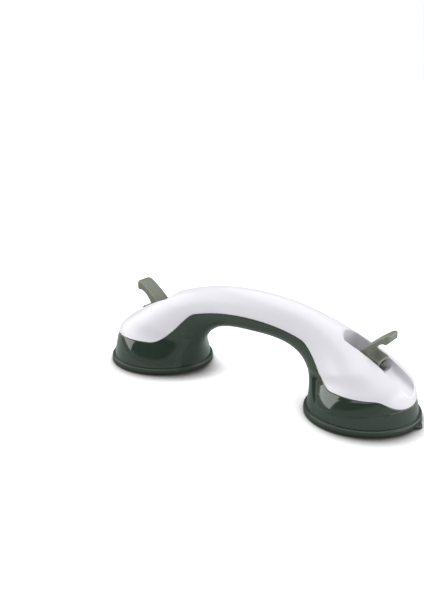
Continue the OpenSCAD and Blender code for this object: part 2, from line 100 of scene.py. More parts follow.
def two_piece(low, high):
    """A curve of q: its first piece up to q = 1 and its second from there to q = 2."""
    low, high = [[np.array(v, float) for v in piece] for piece in (low, high)]

    def curve(q):
        a, b = cubic(*low, np.minimum(q, 1)), cubic(*high, np.maximum(q, 1) - 1)
        return np.where(q[..., None] < 1 if a.ndim > q.ndim else q < 1, a, b)

    return curve


outer = two_piece(
    [FOOT_OUT, FOOT_OUT + UP_OUT * OUT_PULL[0], SHOULDER - RUN_OUT * OUT_PULL[1], SHOULDER],
    [SHOULDER, SHOULDER + RUN_OUT * OUT_PULL[2], [OUT_PULL[3], GRIP_TOP], [0, GRIP_TOP]],
)
inner = two_piece(
    [FOOT_IN, FOOT_IN + UP_IN * IN_PULL[0], ARMPIT - RUN_IN * IN_PULL[1], ARMPIT],
    [ARMPIT, ARMPIT + RUN_IN * IN_PULL[2], [IN_PULL[3], GRIP_UNDER], [0, GRIP_UNDER]],
)
half_w = two_piece(
    [HOUSING_R, HOUSING_R - WIDTH_PULL[0], SHOULDER_HALF_W + WIDTH_PULL[1], SHOULDER_HALF_W],
    [SHOULDER_HALF_W, SHOULDER_HALF_W - NECK_PULL, GRIP_HALF_W, GRIP_HALF_W],
)


def egg(q):
    """How far a section's widest place lies from its middle."""
    return np.where(
        q < 1, EGG_SHOULDER * smooth(q), EGG_SHOULDER + (EGG_GRIP - EGG_SHOULDER) * smooth(q - 1)
    )


def set_in(curve, q, d, side):
    """The curve moved by d into the body, level at the bottom edge."""
    v = curve(np.minimum(2, q + STEP_Q)) - curve(np.maximum(0, q - STEP_Q))
    v = v / np.linalg.norm(v, axis=-1, keepdims=True)
    level = np.minimum(1, 2 * q)
    return curve(q) - d * side * np.stack([v[..., 1], -v[..., 0] * level], -1)


def ends(q, d):
    return set_in(outer, q, d, 1), set_in(inner, q, d, -1)


def body_point(q, a, d):
    """A point of the body at station q and angle a, which is 0 on top, at depth d."""
    o, i = ends(q, d)
    m, h = (o + i) / 2, (o - i) / 2
    c = np.cos(a)
    y = (half_w(q) - d) * np.sin(a) * (1 + egg(q) * c)
    return np.stack([m[..., 0] + h[..., 0] * c, y, m[..., 1] + h[..., 1] * c], -1)


def joint_z(x):
    """Height of the line where the two shells meet."""
    grip = JOINT_GRIP_Z - JOINT_SAG * x * x
    skirt = JOINT_SKIRT_Z - JOINT_TONGUE * smooth((x - TONGUE_IN) / (TONGUE_OUT - TONGUE_IN))
    s = smooth((x - NECK_IN) / (NECK_OUT - NECK_IN))
    return grip * (1 - s) + skirt * s


def bisect(test, lo, hi, n=30):
    """The place between lo and hi where test turns from true to false."""
    for _ in range(n):
        m = (lo + hi) / 2
        ok = test(m)
        lo, hi = np.where(ok, m, lo), np.where(ok, hi, m)
    return (lo + hi) / 2


def station(x, z, d):
    """Station and cosine of the angle for points of the side view."""

    def beside(q):
        o, i = ends(q, d)
        h = o - i
        return h[..., 0] * (z - i[..., 1]) - h[..., 1] * (x - i[..., 0]) > 0

    q = bisect(beside, np.zeros(np.shape(x)), np.full(np.shape(x), 2.0))
    o, i = ends(q, d)
    h = (o - i) / 2
    v = np.stack([x, z], -1) - i - h
    return q, (v * h).sum(-1) / (h * h).sum(-1)


def inside(p, d):
    """Whether points lie in the body set in by d."""
    q, c = station(p[..., 0], p[..., 2], d)
    k = np.clip(c, -1, 1)
    w = (half_w(q) - d) * np.sqrt(1 - k * k) * (1 + egg(q) * k)
    return (np.abs(c) < 1) & (w > np.abs(p[..., 1]))


def hit(base, way, lo, hi, d):
    """Where rays from base leave the body set in by d."""
    t = bisect(
        lambda m: inside(base + m[:, None] * way, d), np.full(len(base), lo), np.full(len(base), hi)
    )
    return base + t[:, None] * way


def angles(p, d):
    """Station and angle of points on the skin at depth d."""
    q, c = station(p[:, 0], p[:, 2], d)
    a = np.arccos(np.clip(c, -1, 1))
    return q, np.where(p[:, 1] < 0, -a, a)


def joint_stations(d, off):
    """[q, a] along the joint line raised by off, from its tip at the outer end to the middle."""

    def below(q):
        o = set_in(outer, q, d, 1)
        return o[..., 1] < joint_z(o[..., 0]) + off

    tip_q = bisect(below, np.zeros(1), np.full(1, TIP_Q_MAX))
    tip = set_in(outer, tip_q, d, 1)[0, 0]
    x = np.concatenate([
        tip - (tip - TONGUE_IN) * (np.arange(TONGUE_STEPS) / TONGUE_STEPS) ** 2,
        TONGUE_IN + (NECK_OUT - TONGUE_IN) * np.arange(SKIRT_STEPS) / SKIRT_STEPS,
        NECK_OUT + (NECK_IN - NECK_OUT) * np.arange(NECK_STEPS) / NECK_STEPS,
        NECK_IN * (1 - np.arange(GRIP_STEPS + 1) / GRIP_STEPS),
    ])
    q, c = station(x, joint_z(x) + off, d)
    a = np.arccos(np.clip(c, -1, 1))
    q[0], a[0], q[-1] = tip_q[0], 0, 2
    return q, a


def in_polygon(points, poly):
    x, y = points[:, 0], points[:, 1]
    found = np.zeros(len(points), bool)
    for (x0, y0), (x1, y1) in zip(poly, np.roll(poly, -1, axis=0)):
        cross = (y0 > y) != (y1 > y)
        with np.errstate(divide="ignore", invalid="ignore"):
            at = (x1 - x0) * (y - y0) / (y1 - y0) + x0
        found ^= cross & (x < at)
    return found


def run_length(p):
    """Distance along a line of points, from its first."""
    return np.concatenate([[0], np.cumsum(np.linalg.norm(np.diff(p, axis=0), axis=1))])


class Sheet:
    """Points in millimetres and faces, gathered for one mesh."""

    def __init__(self):
        self.points, self.faces = [], []

    def add(self, points, faces):
        base = sum(len(p) for p in self.points)
        self.points.append(np.asarray(points, float).reshape(-1, 3))
        self.faces += [[base + i for i in f] for f in faces]

    def cap(self, ring):
        self.add(ring, [list(range(len(ring)))])

    def grid(self, rows, wrap=False):
        rows = np.asarray(rows, float)
        n, m = rows.shape[:2]
        cols = m if wrap else m - 1
        self.add(rows.reshape(-1, 3), [
            [i * m + j, i * m + (j + 1) % m, (i + 1) * m + (j + 1) % m, (i + 1) * m + j]
            for i in range(n - 1) for j in range(cols)
        ])

    def both_sides(self, rows):
        self.grid(rows)
        self.grid(rows * MIRROR)

    def both_ends(self):
        """Adds the other half, turned about the vertical."""
        p = np.concatenate(self.points)
        p[np.abs(p[:, 0]) < SEAM, 0] = 0
        faces = [list(f) for f in self.faces]
        self.points, self.faces = [p], faces
        self.add(p * HALF_TURN, faces)

    def build(self, name, sharp=40):
        mesh = bpy.data.meshes.new(name)
        mesh.from_pydata((np.concatenate(self.points) * MM).tolist(), [], self.faces)
        bm = bmesh.new()
        bm.from_mesh(mesh)
        bmesh.ops.remove_doubles(bm, verts=bm.verts, dist=WELD * MM)
        bmesh.ops.dissolve_degenerate(bm, edges=bm.edges, dist=WELD * MM * 0.5)
        bmesh.ops.delete(bm, geom=[e for e in bm.edges if e.is_wire], context="EDGES")
        bmesh.ops.recalc_face_normals(bm, faces=bm.faces)
        bm.to_mesh(mesh)
        bm.free()
        mesh.shade_smooth()
        mesh.set_sharp_from_angle(angle=math.radians(sharp))
        obj = bpy.data.objects.new(name, mesh)
        bpy.context.scene.collection.objects.link(obj)
        return obj


def apply(obj, kind, **values):
    """Adds a modifier and bakes it into the mesh."""
    m = obj.modifiers.new(kind, kind)
    for k, v in values.items():
        setattr(m, k, v)
    dg = bpy.context.evaluated_depsgraph_get()
    dg.update()
    made = bpy.data.meshes.new_from_object(obj.evaluated_get(dg))
    old = obj.data
    obj.modifiers.clear()
    obj.data = made
    made.name = old.name
    bpy.data.meshes.remove(old)


def cut_away(obj, tool):
    """Cuts the object tool out of obj and deletes it."""
    apply(obj, "BOOLEAN", operation="DIFFERENCE", object=tool, solver="EXACT")
    mesh = tool.data
    bpy.data.objects.remove(tool)
    bpy.data.meshes.remove(mesh)


def cut_box(obj, lo, hi):
    """Cuts a box, by two corners in millimetres, out of a mesh."""
    lo, hi = np.array(lo) * MM, np.array(hi) * MM
    bm = bmesh.new()
    bmesh.ops.create_cube(bm, size=1, matrix=Matrix.LocRotScale((lo + hi) / 2, None, hi - lo))
    mesh = bpy.data.meshes.new("cutter")
    bm.to_mesh(mesh)
    bm.free()
    tool = bpy.data.objects.new("cutter", mesh)
    bpy.context.scene.collection.objects.link(tool)
    cut_away(obj, tool)


def skin(sheet, q, a_of, columns, d, hole, breadth):
    """A grid over stations q and columns, with a hole. a_of(q, v) is the angle at column v in
    -1..1, breadth is half the grid's width where the faces are found, in the plane, and hole lists
    loops from its edge outwards, each as (points, their q, their v)."""
    length = run_length(outer(q))
    qq, vv = (g.ravel() for g in np.meshgrid(q, columns, indexing="ij"))
    points = body_point(qq, a_of(qq, vv), d)
    flat = np.stack([np.interp(qq, q, length), vv * breadth], -1)
    rings = [np.stack([np.interp(hq, q, length), hv * breadth], -1) for _, hq, hv in hole]
    keep = ~in_polygon(flat, rings[-1])
    n, edges = int(keep.sum()), []
    for ring in rings:
        m = len(ring)
        edges += [(n + i, n + (i + 1) % m) for i in range(m)]
        n += m
    points = np.concatenate([points[keep], *[p for p, _, _ in hole]])
    flat = np.concatenate([flat[keep], *rings])
    corners, _, cells, origins = delaunay_2d_cdt(
        [Vector(f) for f in flat], edges, [], 0, DELAUNAY_EPS
    )[:4]
    source = [o[0] if o else -1 for o in origins]
    faces = [[source[i] for i in f] for f in cells]
    middle = np.array([np.mean([corners[i] for i in f], axis=0) for f in cells])
    solid = ~in_polygon(middle, rings[0])
    sheet.add(points, [f for f, k in zip(faces, solid) if k and min(f) >= 0])


# Edge of the upper shell along the joint line, as (height above the line, depth). The lower
# shell's edge lies as far below it.
RIM = [(0.45, 0), (0.26, 0.04), (0.14, 0.14), (0.1, 0.35), (0.1, 1.2), (0.1, WALL)]


def rim(sheet, profile):
    """The edge of a shell along the joint line, on both sides."""
    rows = []
    for off, d in profile:
        q, a = joint_stations(d, off)
        rows.append(body_point(q, a, d))
    sheet.both_sides(np.array(rows))


# The lever slot and the finger trough, as columns that run from their middle line to the skin. The
# slot's x counts from the cup's axis. A pocket's rim has radii at the inner end, along the sides
# and at the outer end, and beyond lists how far outside the rim more loops on the skin lie.
SLOT_IN, SLOT_OUT, SLOT_HALF_W, SLOT_CORNER, SLOT_BOW = 12.0, 16.0, 9.8, 0.8, 5.0
TROUGH_Z, TROUGH_RUN, TROUGH_TOP, SLOPE = 34.9, 15.2, 26.0, math.radians(33.5)
WELL_Z, WELL_MID, WELL_CORNER, WELL_TOP = 34.1, -5, 0.8, 40.0
FLOOR_STEPS, CORNER_STEPS, WALL_STEPS, RIM_STEPS, LOFT_ROWS = 12, 15, 60, 13, 26
END_COLUMNS, TROUGH_COLUMNS, SLOT_COLUMNS, CORNER_COLUMNS, BOW_COLUMNS = 25, 19, 29, 7, 13
RIM_CHANGE, RIM_SHARE, SKIN_REACH = 22, 0.4, 14.0
OUTSIDE = dict(
    grow=0.0, drop=0.0, step=0.0, corner=3.0, radii=(1.6, 1.1, 1.2), beyond=(0.7, 1.7, 3.2)
)
BACK = dict(grow=1.2, drop=2.0, step=1.5, corner=0.8, radii=(0.3, 0.3, 0.3), beyond=(0.4,))
NECK_HALF, NECK_BELOW, NECK_ABOVE = (4, 3.5), 3.5, 0.5


def tilted(x, y, z):
    """A point of the trough's own frame, which slopes down to the outer end."""
    c, s = math.cos(SLOPE), math.sin(SLOPE)
    x, y, z = np.broadcast_arrays(*[np.asarray(v, float) for v in (x, y, z)])
    return np.stack([CUP_X + SLOT_OUT + x * c + z * s, y, TROUGH_Z - x * s + z * c], -1)


def section(width, corner, top):
    """Distance from the middle line and height along a section: floor, corner and wall."""
    t = np.radians(np.linspace(0, 90, CORNER_STEPS))
    floor = np.linspace(0, width - corner, FLOOR_STEPS)[:-1]
    wall = np.linspace(corner, top, WALL_STEPS + 1)[1:]
    r = np.concatenate([floor, width - corner + corner * np.sin(t), np.full(WALL_STEPS, width)])
    z = np.concatenate([floor * 0, corner - corner * np.cos(t), wall])
    return r, z


def trough_columns(width, drop, step, corner, radii):
    """From the outer end to the slot, each as (points, way outwards, way up, radius of the rim)."""
    _, along, outer_end = radii
    r, z = section(width, corner, TROUGH_TOP + drop)
    z = z - drop
    zero = tilted(0, 0, 0)
    columns = []
    for t in np.radians(np.linspace(0, 90, END_COLUMNS)):
        c, s = math.cos(t), math.sin(t)
        radius = along + (outer_end - along) * c**2
        points = tilted(TROUGH_RUN + r * c, r * s, z)
        columns.append((points, tilted(c, s, 0) - zero, tilted(0, 0, 1) - zero, radius))
    for s in np.linspace(0, 1, TROUGH_COLUMNS)[1:]:
        at = lambda v: TROUGH_RUN * (1 - s) + s * (step / math.cos(SLOPE) - v * math.tan(SLOPE))
        up = tilted(at(1.0), 0, 1) - tilted(at(0.0), 0, 0)
        columns.append((tilted(at(z), r, z), [0, 1, 0], up, along))
    return columns


def slot_columns(width, grow, drop, step, radii):
    """From the trough to the middle of the bowed inner end, as in trough_columns."""
    inner_end, along, _ = radii
    x_step = SLOT_OUT + step
    bow_r = (SLOT_HALF_W**2 + SLOT_BOW**2) / (2 * SLOT_BOW)
    x_bow, y_end = bow_r - SLOT_IN - SLOT_BOW, SLOT_HALF_W - SLOT_CORNER
    x_end = x_bow - math.sqrt((bow_r - SLOT_CORNER) ** 2 - y_end**2)
    half_bow = math.atan2(y_end, x_bow - x_end)
    side = np.linspace(x_step, x_end, SLOT_COLUMNS)
    walls = [(x, width, max(x, WELL_MID), 0, 1) for x in side]
    for t in np.linspace(math.pi / 2, math.pi - half_bow, CORNER_COLUMNS)[1:]:
        reach, c, s = SLOT_CORNER + grow, math.cos(t), math.sin(t)
        walls.append((x_end + reach * c, y_end + reach * s, WELL_MID, c, s))
    for t in np.linspace(half_bow, 0, BOW_COLUMNS)[1:]:
        reach, c, s = bow_r + grow, math.cos(t), math.sin(t)
        walls.append((x_bow - reach * c, reach * s, WELL_MID, -c, s))
    columns = []
    for x, y, x_mid, nx, ny in walls:
        span = math.hypot(x - x_mid, y)
        r, z = section(span, WELL_CORNER, WELL_TOP)
        k = r / span
        points = np.stack([CUP_X + x_mid + (x - x_mid) * k, y * k, WELL_Z - drop + z], -1)
        radius = along + (inner_end - along) * float(smooth((x_step - x) / RIM_CHANGE))
        columns.append((points, [nx, ny, 0], [0, 0, 1], radius))
    return columns


def pocket(sheet, d, grow, drop, step, corner, radii, beyond):
    """Adds the walls and floor of one slot with its trough, and returns its loops on the skin."""
    width = SLOT_HALF_W + grow
    columns = trough_columns(width, drop, step, corner, radii)
    columns += slot_columns(width, grow, drop, step, radii)
    curves, outs, ways, radii = (np.array(v, float) for v in zip(*columns))
    ways /= np.linalg.norm(ways, axis=1, keepdims=True)
    within = inside(curves, d)
    last = within.shape[1] - 1 - np.argmax(within[:, ::-1], axis=1)
    each = np.arange(len(curves))
    a, b = curves[each, last], curves[each, last + 1]
    meet = hit(a, b - a, 0.0, 1.0, d)
    inward = [np.concatenate([m[None], c[k::-1]]) for m, c, k in zip(meet, curves, last)]

    def on_skin(off):
        return hit(meet + off[:, None] * outs, ways, -SKIN_REACH, SKIN_REACH, d)

    def closed(p):
        p = p[np.concatenate([[True], np.linalg.norm(np.diff(p, axis=0), axis=1) > SAME_POINT])]
        return np.concatenate([p, p[-2:0:-1] * MIRROR])

    edge = on_skin(radii)
    t = np.linspace(0, 1, RIM_STEPS)[:, None]
    lofted = []
    for p, e, line, radius in zip(meet, edge, inward, radii):
        length = run_length(line)
        at = lambda s: np.stack([np.interp(s, length, line[:, i]) for i in range(3)], -1)
        start = min(radius, RIM_SHARE * length[-1])
        rest = at(np.linspace(start, length[-1], LOFT_ROWS)[1:])
        lofted.append(np.concatenate([quadratic(e, p, at(start), t), rest]))
    sheet.both_sides(np.array(lofted).transpose(1, 0, 2))
    return [closed(edge)] + [closed(on_skin(radii + o)) for o in beyond]


def make_upper_shell():
    sheet = Sheet()
    columns = np.linspace(-1, 1, UPPER_COLUMNS)
    pockets = [pocket(sheet, 0.0, **OUTSIDE), pocket(sheet, WALL, **BACK)]
    for (off, d), loops in zip((RIM[0], RIM[-1]), pockets):
        q, a = joint_stations(d, off)
        a_of = lambda s, v: v * np.interp(s, q, a)
        hole = []
        for p in loops:
            hq, ha = angles(p, d)
            hole.append((p, hq, ha / np.interp(hq, q, a)))
        skin(sheet, q, a_of, columns, d, hole, UPPER_BREADTH)
    rim(sheet, RIM)
    sheet.both_ends()
    obj = sheet.build("upper_shell_visual")
    for x in (-CUP_X, CUP_X):
        cut_box(
            obj, (x - NECK_HALF[0], -NECK_HALF[1], WELL_Z - NECK_BELOW),
            (x + NECK_HALF[0], NECK_HALF[1], WELL_Z + NECK_ABOVE),
        )
    return obj


# The screw recesses in the underside of the grip, and the rounded bottom edge of the housings, as
# (station, depth).
SCREW_X, SCREW_SEAT = 33.0, 2.4
RECESS_R, RECESS_EDGE, RECESS_STEPS, PILOT_R, BOSS_R, BOSS_H = 3.5, 0.4, 6, 1.9, 5.0, 3
LOOP_R, LOOP_R_BACK = (RECESS_R + RECESS_EDGE, 4.6, 5.8), (BOSS_R, 5.8, 7.0)
BOTTOM_Q, BOTTOM_STEPS = 0.0064, 16
BOTTOM = ((BOTTOM_Q, 0), (BOTTOM_Q * 0.3, 0.12), (0.0, 0.4), (0.0, WALL))
RAY_Z, RAY_LENGTH = 50.0, 20.0


def make_lower_shell():
    sheet = Sheet()
    columns = np.linspace(-1, 1, LOWER_COLUMNS)

    def ring(r, z):
        x, y = SCREW_X + r * np.cos(CIRCLE), r * np.sin(CIRCLE)
        return np.stack([x, y, CIRCLE * 0 + z], -1)

    def under(r, d):
        return hit(ring(r, RAY_Z), np.array([0, 0, -1.0]), 0.0, RAY_LENGTH, d)

    screw_lo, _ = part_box("grip_screw_right")
    seat = screw_lo[2] / MM + SCREW_SEAT
    corner = under(RECESS_R, 0.0)
    t = np.linspace(0, 1, RECESS_STEPS)[:, None, None]
    rows = list(quadratic(under(LOOP_R[0], 0.0), corner, corner + [0, 0, RECESS_EDGE], t))
    rows += [ring(RECESS_R, seat), ring(PILOT_R, seat), ring(PILOT_R, seat + BOSS_H)]
    rows += [ring(BOSS_R, seat + BOSS_H), under(BOSS_R, WALL)]
    sheet.grid(np.array(rows), wrap=True)
    for (off, d), foot, loop_r in ((RIM[0], BOTTOM_Q, LOOP_R), (RIM[-1], 0.0, LOOP_R_BACK)):
        q, a = joint_stations(d, -off)
        low = foot + (q[0] - foot) * np.arange(BOTTOM_STEPS) / BOTTOM_STEPS
        q_all, a_all = np.concatenate([low, q]), np.concatenate([low * 0, a])
        open_at = lambda s: np.pi - np.interp(s, q_all, a_all)
        hole = []
        for r in loop_r:
            p = under(r, d)
            hq, ha = angles(p, d)
            hole.append((p, hq, (np.where(ha < 0, ha + 2 * np.pi, ha) - np.pi) / open_at(hq)))
        a_of = lambda s, v: np.pi + v * open_at(s)
        skin(sheet, q_all, a_of, columns, d, hole, LOWER_BREADTH)
    turn = np.pi + columns * np.pi
    sheet.grid([body_point(np.full(len(turn), q), turn, d) for q, d in BOTTOM])
    rim(sheet, [(-off, d) for off, d in RIM])
    sheet.both_ends()
    return sheet.build("lower_shell_visual")


# The lever: u runs from the pin to the tip of the open paddle, v up through its top.
PIN_Z, OPEN, SWING, LIFT = 44.0, math.radians(41.5), 72.5, 5
PADDLE_U, PADDLE_V, LEVER_LEN, LEVER_W, DOME = 29.36, 4.06, 37.0, 17.0, 1.5
HEEL_U, HEEL_R = PADDLE_U - LEVER_LEN, 1.2
TIP_R, TIP_TOP, TIP_BACK, TIP_CORNER, TIP_LONG, TIP_BLEND = 1.6, 1.7, 1.9, 3.6, 8.5, 6.5
CAM_R, CAM_RATE = 8.6, LIFT / math.radians(SWING)
CAM_START, CAM_END = [3, 0], [[-0.12, 0.6], [-0.35, 1.05], [-0.75, 1.3]]
HEEL = np.array([[HEEL_U, 1.5], [HEEL_U, -0.5]])
TOE = np.array([[6.6, -0.6], [7.2, -0.1], [7.7, 0.06]])
ARM_U, ARM_V = (8.4, 15, 19, PADDLE_U - 5.2), (0.4, 2.2, 2.6, -1)
LIP = np.array([[4.6, -1.16], [4, -1.25], [3.5, -1.26], [3, -1.2], [2.6, -0.95], [2.3, -0.6]])
HEEL_STEPS, CAM_STEPS, ARM_STEPS, TIP_STEPS, TOP_STEPS = 7, 24, 16, 13, 32
EDGE_HEEL, EDGE_BACK, EDGE_CAM, EDGE_ARM, EDGE_TIP, EDGE_TOP = 1.0, 0.5, 0.35, 0.6, 1.1, 1.7
EDGE_ROWS, EDGE_PASSES, SIDE_ROWS, SIDE_GAP = 8, 3, (0.3, 0.6, 1.0), 0.1
LEVER_SHARP, MITRE, SAME_CORNER = 45, 0.6, 1e-4
EYE_R, FORK_R, FORK_FAR, FORK_HALF_W, PIN_HOLE_R, PIN_HALF = 4.6, 4.0, 24.0, 3.5, 1.52, 9.0


def uv(u, v):
    c, s = math.cos(OPEN), math.sin(OPEN)
    return np.stack([u * c - v * s, u * s + v * c], -1)


def cam_point(a):
    """A point of the cam, whose height under the pin grows evenly as the lever turns."""
    a = np.radians(a)
    reach = CAM_R + CAM_RATE * (a + np.pi / 2)
    c, s = np.cos(a), np.sin(a)
    return np.stack([reach * c - CAM_RATE * s, reach * s + CAM_RATE * c], -1)


def dome(u):
    return PADDLE_V + DOME * (1 - (2 * (u - HEEL_U) / LEVER_LEN - 1) ** 2)


def lever_profile():
    """Points of the side view and, at each, the radius of the edge beside it."""
    heel = np.radians(np.linspace(90, 180, HEEL_STEPS)[1:])
    heel_v = dome(HEEL_U + HEEL_R) - HEEL_R
    cam = cam_point(-90 + SWING * np.arange(CAM_STEPS + 1) / CAM_STEPS)
    t = np.arange(ARM_STEPS + 1) / ARM_STEPS
    tip = np.radians(np.linspace(-20, 80, TIP_STEPS))
    tip_u, tip_v = PADDLE_U - TIP_R + TIP_R * np.cos(tip), PADDLE_V - TIP_TOP + TIP_R * np.sin(tip)
    top_len = HEEL_U + HEEL_R - PADDLE_U + TIP_BACK
    top = PADDLE_U - TIP_BACK + top_len * np.arange(TOP_STEPS + 1) / TOP_STEPS
    parts = [
        (uv(HEEL_U + HEEL_R + HEEL_R * np.cos(heel), heel_v + HEEL_R * np.sin(heel)), EDGE_HEEL),
        (uv(HEEL[:, 0], HEEL[:, 1]), EDGE_BACK),
        (np.concatenate([[cam[0] - CAM_START], cam]), EDGE_CAM),
        (np.array([cam[-1] + step for step in CAM_END]), EDGE_CAM),
        (uv(TOE[:, 0], TOE[:, 1]), EDGE_CAM),
        (uv(cubic(*ARM_U, t), cubic(*ARM_V, t)), EDGE_ARM),
        (uv(PADDLE_U - LIP[:, 0], LIP[:, 1]), EDGE_ARM),
        (uv(tip_u, tip_v), EDGE_TIP),
        (uv(top, dome(top)), EDGE_TOP),
    ]
    points = np.concatenate([p for p, _ in parts])
    radii = np.concatenate([np.full(len(p), r) for p, r in parts])
    keep = np.linalg.norm(points - np.roll(points, 1, axis=0), axis=1) > SAME_CORNER
    points, radii = points[keep], radii[keep]
    for _ in range(EDGE_PASSES):
        radii = (np.roll(radii, 1) + 2 * radii + np.roll(radii, -1)) / 4
    return points, radii


def at_end(p, side, z):
    """Points about the axis of the right-hand cup, moved to the end that side names and up by z."""
    return p * [side, side, 1] + [side * CUP_X, 0, z]


def make_lever(name, side):
    points, radii = lever_profile()
    along = np.roll(points, -1, axis=0) - points
    normal = np.stack([along[:, 1], -along[:, 0]], -1)
    normal /= np.linalg.norm(normal, axis=1, keepdims=True)
    mean = normal + np.roll(normal, 1, axis=0)
    mean /= np.linalg.norm(mean, axis=1, keepdims=True)
    mean = mean / np.maximum((mean * normal).sum(1)[:, None], MITRE)
    near_tip = smooth((points @ uv(1.0, 0.0) - (PADDLE_U - TIP_LONG)) / TIP_BLEND)
    levels = [(t, 0.0) for t in np.radians(np.linspace(0, 90, EDGE_ROWS))]
    levels += [(math.pi / 2, k) for k in SIDE_ROWS]
    loops = []
    for t, k in levels:
        y = LEVER_W / 2 - radii * (1 - math.cos(t))
        y = y + (LEVER_W / 2 - TIP_CORNER - SIDE_GAP - y) * k
        p = points - mean * (radii * (1 - math.sin(t)))[:, None]
        out = np.clip(y - (LEVER_W / 2 - TIP_CORNER), 0, TIP_CORNER)
        back = TIP_CORNER - np.sqrt(TIP_CORNER**2 - out**2)
        p = p - (back * near_tip)[:, None] * uv(1.0, 0.0)
        loops.append(np.stack([p[:, 0], y, p[:, 1]], -1))
    loops = np.array(loops)
    loops = at_end(np.concatenate([loops, loops[::-1] * MIRROR]), side, PIN_Z)
    sheet = Sheet()
    sheet.grid(loops, wrap=True)
    sheet.cap(loops[0])
    sheet.cap(loops[-1])
    obj = sheet.build(name, sharp=LEVER_SHARP)

    disc = lambda r: np.stack([r * np.cos(CIRCLE), r * np.sin(CIRCLE)], -1)
    a = math.radians(SWING - 90)
    ahead, aside = np.array([math.cos(a), math.sin(a)]), np.array([-math.sin(a), math.cos(a)])
    fork = np.array([
        [-FORK_R, 0], [-FORK_R, -FORK_FAR], [FORK_FAR, -FORK_FAR],
        FORK_FAR * ahead + FORK_R * aside, FORK_R * aside,
    ])
    for outline, half in (
        (disc(EYE_R), FORK_HALF_W), (fork, FORK_HALF_W), (disc(PIN_HOLE_R), PIN_HALF)
    ):
        faces = [at_end(np.insert(outline, 1, y, axis=1), side, PIN_Z) for y in (-half, half)]
        cutter = Sheet()
        cutter.grid(faces, wrap=True)
        for face in faces:
            cutter.cap(face)
        cut_away(obj, cutter.build("cutter"))
    obj.data.set_sharp_from_angle(angle=math.radians(LEVER_SHARP))
    return obj


# The cups, as [radius, height] or, for the tab's edge, (inset, height).
BEAD = [
    [34, 0.7], [35, 0.5], [37, 0], [41.4, 0], [41.9, 0.06], [42.35, 0.3], [42.7, 0.75],
    [42.93, 1.3], [43, 1.9], [43, 2.9], [42.92, 3.5], [42.7, 4.0], [42.3, 4.35], [41.8, 4.5],
    [34, 4.5],
]
TAB_EDGE = (
    (0.9, 0.0), (0.45, 0.03), (0.15, 0.2), (0, 0.55),
    (0, 1.45), (0.15, 1.8), (0.45, 1.97), (0.9, 2.0),
)
TAB_REACH, TAB_ROOT, TAB_R, TAB_STEPS = 46.2, 38.5, 5, 25
WEB_BELOW = [
    [36.5, 0.2], [35, 0.5], [32, 0.88], [28, 1.39], [24, 1.89], [21, 2.28], [19.5, 2.4], [12, 2.4],
    [0, 2.4],
]
WEB_ABOVE = [
    [0, 10], [18, 10], [18.5, 9.9], [20, 8.5], [20.4, 6], [20.8, 3.6], [21.4, 2.8], [24, 2.4],
    [28, 1.85], [32, 1.3], [35, 0.9], [36.5, 0.7],
]


def revolve(sheet, profile, x, n=128):
    """Turns a closed profile of [radius, height] about the axis of the cup at x."""
    turn = np.arange(n) * 2 * np.pi / n
    r, z = np.array(profile, float).T
    across, deep = np.outer(np.cos(turn), r), np.outer(np.sin(turn), r)
    rows = np.stack([x + across, deep, np.tile(z, (n, 1))], -1)
    rows = np.concatenate([rows, rows[:, :1]], axis=1)
    sheet.grid(np.concatenate([rows, rows[:1]]))


def make_cup_rim(name, side):
    """The bead that stands on the surface, with its pull tab."""
    sheet = Sheet()
    revolve(sheet, BEAD, side * CUP_X)
    t = np.radians(np.linspace(-90, 90, TAB_STEPS))
    edge = np.stack([TAB_REACH - TAB_R + TAB_R * np.cos(t), TAB_R * np.sin(t)], -1)
    edge = np.concatenate([[[TAB_ROOT, -TAB_R]], edge, [[TAB_ROOT, TAB_R]]])
    way = edge - edge.mean(axis=0)
    way = way / np.linalg.norm(way, axis=1, keepdims=True)
    rows = [at_end(np.insert(edge - way * inset, 2, z, axis=1), side, 0) for inset, z in TAB_EDGE]
    sheet.grid(rows, wrap=True)
    sheet.cap(rows[0])
    sheet.cap(rows[-1])
    return sheet.build(name)


def make_cup_skin(name, side):
    """The thin web inside the bead, up to the boss round the stem."""
    sheet = Sheet()
    revolve(sheet, WEB_BELOW + WEB_ABOVE, side * CUP_X)
    return sheet.build(name)


# Values that all finishes share.
FINE_DETAIL, BROAD_DETAIL, BROAD_SCALE, TINT_FROM, TINT_TO = 3, 2, 26, 0.3, 0.7
LEAST_ROUGH, COAT_ROUGH, BUMP_DEPTH = 0.02, 0.06, 0.0002


def shader(tree, kind, **values):
    """A new shader node with values on its inputs. An input's name has _ for each space."""
    made = tree.nodes.new("ShaderNode" + kind)
    for key, value in values.items():
        made.inputs[key.replace("_", " ")].default_value = value
    return made


def ramp(tree, *stops):
    """A colour ramp through two stops, each (position, colour)."""
    made = shader(tree, "ValToRGB")
    for element, (position, colour) in zip(made.color_ramp.elements, stops):
        element.position = position
        element.color = [*colour, 1]
    return made


